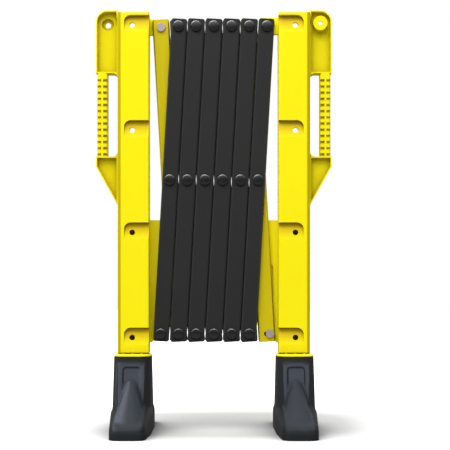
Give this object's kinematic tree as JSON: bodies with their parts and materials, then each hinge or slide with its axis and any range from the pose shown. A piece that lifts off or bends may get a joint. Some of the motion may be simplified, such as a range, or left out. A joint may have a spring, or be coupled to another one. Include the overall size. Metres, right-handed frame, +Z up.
{
  "type": "expandable barrier",
  "caption": "Expandable safety barrier: upright yellow end frames on swivelling rubber feet, joined by a scissor lattice of flat black and yellow slats",
  "frame": {"origin": "bottom centre of the closed barrier: on the ground, midway between the end frames and between front and back", "axes": "+X to the right seen from the front, +Y to the back, +Z up; the front faces -Y"},
  "size_m": [0.56, 0.38, 1],
  "materials": {
    "frame_yellow": "moulded, satin",
    "slat_yellow": "moulded, satin",
    "slat_black": "moulded, matte",
    "cap_black": "moulded, light sheen",
    "collar_yellow": "moulded, satin",
    "foot_rubber": "moulded, fine grain",
    "roller_nylon": "turned",
    "zinc_steel": "zinc plated",
    "pin_steel": "bare steel"
  },
  "bodies": {
    "left_frame": {"left_end_frame": "frame_yellow", "left_track_plate": "frame_yellow", "left_track_screws": "zinc_steel", "left_top_pin": "pin_steel", "left_foot_bolt": "zinc_steel"},
    "right_frame": {"right_end_frame": "frame_yellow", "right_track_plate": "frame_yellow", "right_track_screws": "zinc_steel", "right_foot_bolt": "zinc_steel"},
    "left_foot_swivel": {"left_foot": "foot_rubber", "left_foot_collar": "collar_yellow"},
    "right_foot_swivel": {"right_foot": "foot_rubber", "right_foot_collar": "collar_yellow"},
    "front_bar_1": {"front_slat_1": "slat_black", "top_rivet_1": "pin_steel", "middle_rivet_1": "pin_steel", "pivot_caps_1": "cap_black", "left_slider_pin": "pin_steel", "left_slider_spacer": "roller_nylon", "left_slider_roller": "roller_nylon"},
    "rear_bar_1": {"rear_slat_1": "slat_yellow"},
    "front_bar_2": {"front_slat_2": "slat_black", "top_rivet_2": "pin_steel", "middle_rivet_2": "pin_steel", "pivot_caps_2": "cap_black", "bottom_rivet_2": "pin_steel"},
    "rear_bar_2": {"rear_slat_2": "slat_black"},
    "front_bar_3": {"front_slat_3": "slat_black", "top_rivet_3": "pin_steel", "middle_rivet_3": "pin_steel", "pivot_caps_3": "cap_black", "bottom_rivet_3": "pin_steel"},
    "rear_bar_3": {"rear_slat_3": "slat_black"},
    "front_bar_4": {"front_slat_4": "slat_black", "top_rivet_4": "pin_steel", "middle_rivet_4": "pin_steel", "pivot_caps_4": "cap_black", "bottom_rivet_4": "pin_steel"},
    "rear_bar_4": {"rear_slat_4": "slat_black"},
    "front_bar_5": {"front_slat_5": "slat_black", "top_rivet_5": "pin_steel", "middle_rivet_5": "pin_steel", "pivot_caps_5": "cap_black", "bottom_rivet_5": "pin_steel"},
    "rear_bar_5": {"rear_slat_5": "slat_black"},
    "front_bar_6": {"front_slat_6": "slat_black", "top_rivet_6": "pin_steel", "middle_rivet_6": "pin_steel", "pivot_caps_6": "cap_black", "bottom_rivet_6": "pin_steel"},
    "rear_bar_6": {"rear_slat_6": "slat_yellow", "right_slider_pin": "pin_steel", "right_slider_roller": "roller_nylon"}
  },
  "joints": [
    {"name": "left_hang", "type": "hinge", "parent": "left_frame", "child": "rear_bar_1", "pos_m": [-0.1263, 0, 0.963], "axis": [0, -1, 0], "range_deg": [0, 34.5]},
    {"name": "cross_1", "type": "hinge", "parent": "rear_bar_1", "child": "front_bar_1", "pos_m": [-0.10525, 0, 0.5971], "axis": [0, 1, 0], "range_deg": [0, 69]},
    {"name": "peak_1", "type": "hinge", "parent": "front_bar_1", "child": "rear_bar_2", "pos_m": [-0.0842, 0, 0.963], "axis": [0, -1, 0], "range_deg": [0, 69]},
    {"name": "fold", "type": "hinge", "parent": "rear_bar_2", "child": "front_bar_2", "pos_m": [-0.06315, 0, 0.5971], "axis": [0, 1, 0], "range_deg": [0, 69]},
    {"name": "peak_2", "type": "hinge", "parent": "front_bar_2", "child": "rear_bar_3", "pos_m": [-0.0421, 0, 0.963], "axis": [0, -1, 0], "range_deg": [0, 69]},
    {"name": "cross_3", "type": "hinge", "parent": "rear_bar_3", "child": "front_bar_3", "pos_m": [-0.02105, 0, 0.5971], "axis": [0, 1, 0], "range_deg": [0, 69]},
    {"name": "peak_3", "type": "hinge", "parent": "front_bar_3", "child": "rear_bar_4", "pos_m": [0, 0, 0.963], "axis": [0, -1, 0], "range_deg": [0, 69]},
    {"name": "cross_4", "type": "hinge", "parent": "rear_bar_4", "child": "front_bar_4", "pos_m": [0.02105, 0, 0.5971], "axis": [0, 1, 0], "range_deg": [0, 69]},
    {"name": "peak_4", "type": "hinge", "parent": "front_bar_4", "child": "rear_bar_5", "pos_m": [0.0421, 0, 0.963], "axis": [0, -1, 0], "range_deg": [0, 69]},
    {"name": "cross_5", "type": "hinge", "parent": "rear_bar_5", "child": "front_bar_5", "pos_m": [0.06315, 0, 0.5971], "axis": [0, 1, 0], "range_deg": [0, 69]},
    {"name": "peak_5", "type": "hinge", "parent": "front_bar_5", "child": "rear_bar_6", "pos_m": [0.0842, 0, 0.963], "axis": [0, -1, 0], "range_deg": [0, 69]},
    {"name": "cross_6", "type": "hinge", "parent": "rear_bar_6", "child": "front_bar_6", "pos_m": [0.10525, 0, 0.5971], "axis": [0, 1, 0], "range_deg": [0, 69]},
    {"name": "right_hang", "type": "hinge", "parent": "front_bar_6", "child": "right_frame", "pos_m": [0.1263, 0, 0.963], "axis": [0, -1, 0], "range_deg": [0, 34.5]},
    {"name": "left_foot_turn", "type": "hinge", "parent": "left_frame", "child": "left_foot_swivel", "pos_m": [-0.1924, 0, 0.179], "axis": [0, 0, 1], "range_deg": [0, 90]},
    {"name": "right_foot_turn", "type": "hinge", "parent": "right_frame", "child": "right_foot_swivel", "pos_m": [0.1924, 0, 0.179], "axis": [0, 0, 1], "range_deg": [0, 90]}
  ],
  "couplings": [
    {"joint": "left_hang", "follows": "fold", "ratio": 0.5},
    {"joint": "cross_1", "follows": "fold", "ratio": 1},
    {"joint": "peak_1", "follows": "fold", "ratio": 1},
    {"joint": "peak_2", "follows": "fold", "ratio": 1},
    {"joint": "cross_3", "follows": "fold", "ratio": 1},
    {"joint": "peak_3", "follows": "fold", "ratio": 1},
    {"joint": "cross_4", "follows": "fold", "ratio": 1},
    {"joint": "peak_4", "follows": "fold", "ratio": 1},
    {"joint": "cross_5", "follows": "fold", "ratio": 1},
    {"joint": "peak_5", "follows": "fold", "ratio": 1},
    {"joint": "cross_6", "follows": "fold", "ratio": 1},
    {"joint": "right_hang", "follows": "fold", "ratio": 0.5}
  ]
}
